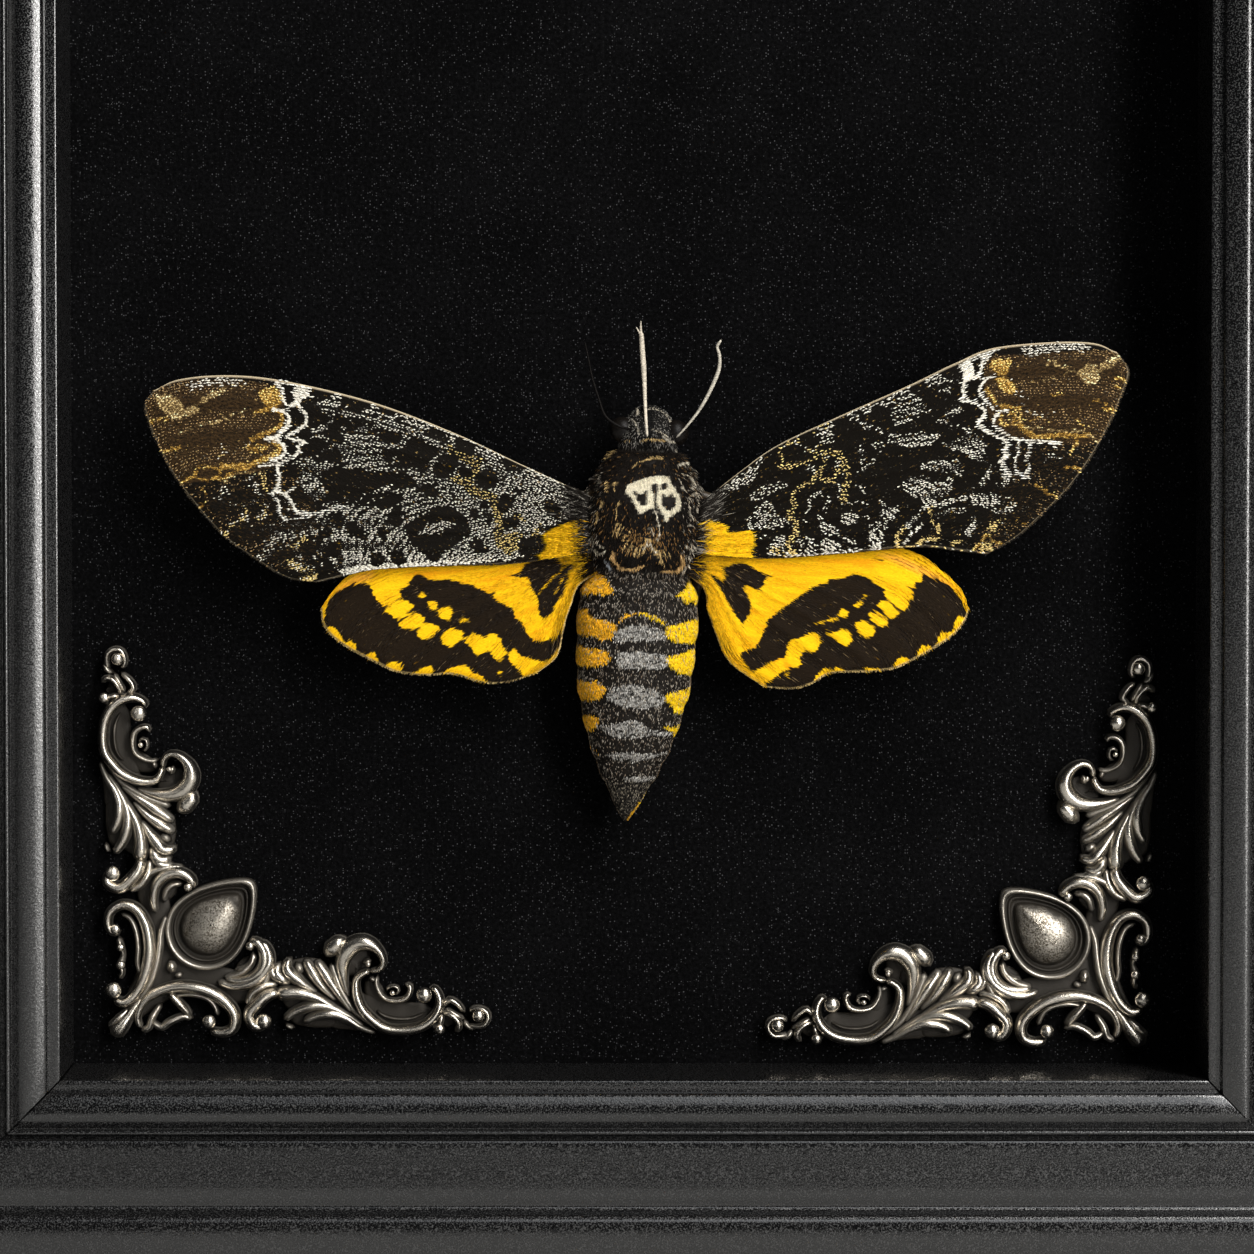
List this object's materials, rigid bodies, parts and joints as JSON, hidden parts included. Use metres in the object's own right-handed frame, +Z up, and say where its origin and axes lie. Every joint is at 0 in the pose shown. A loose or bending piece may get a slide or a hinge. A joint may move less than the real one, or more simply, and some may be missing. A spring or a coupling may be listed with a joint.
{
  "type": "mounted deaths head hawkmoth in a shadow box",
  "caption": "Spread deaths head hawkmoth mounted on black velvet in a black moulded shadow box with antique silver corner ornaments.",
  "frame": {"origin": "centre of the box's outline on the surface that it stands on", "axes": "+Z up along the moth's body, +X to the viewer's right, the window faces -Y"},
  "size_m": [0.171, 0.03, 0.222],
  "materials": {
    "moulding": "black satin lacquer",
    "velvet": "black velvet pile",
    "backing": "black card",
    "silver": "antique silver with blackened recesses",
    "body_hair": "dense dark brown hair",
    "abdomen_hair": "ochre, black and blue-grey hair",
    "eyes": "dull gloss",
    "feelers": "pale horn",
    "forewing_scales": "powdery brown scales with white and ochre marks",
    "hindwing_scales": "yellow scales with dark brown bands",
    "legs": "dark scaled"
  },
  "bodies": {
    "root": {"frame_bottom": "moulding", "frame_top": "moulding", "frame_left": "moulding", "frame_right": "moulding", "velvet_pad": "velvet", "backing_board": "backing", "ornament_left": "silver", "ornament_right": "silver", "thorax": "body_hair", "head": "body_hair", "abdomen": "abdomen_hair", "eye_left": "eyes", "eye_right": "eyes", "antenna_left": "feelers", "antenna_right": "feelers", "proboscis": "feelers", "forewing_left": "forewing_scales", "forewing_right": "forewing_scales", "hindwing_left": "hindwing_scales", "hindwing_right": "hindwing_scales", "leg_fore_left": "legs", "leg_fore_right": "legs", "leg_mid_left": "legs", "leg_mid_right": "legs", "leg_hind_left": "legs", "leg_hind_right": "legs"}
  },
  "joints": []
}
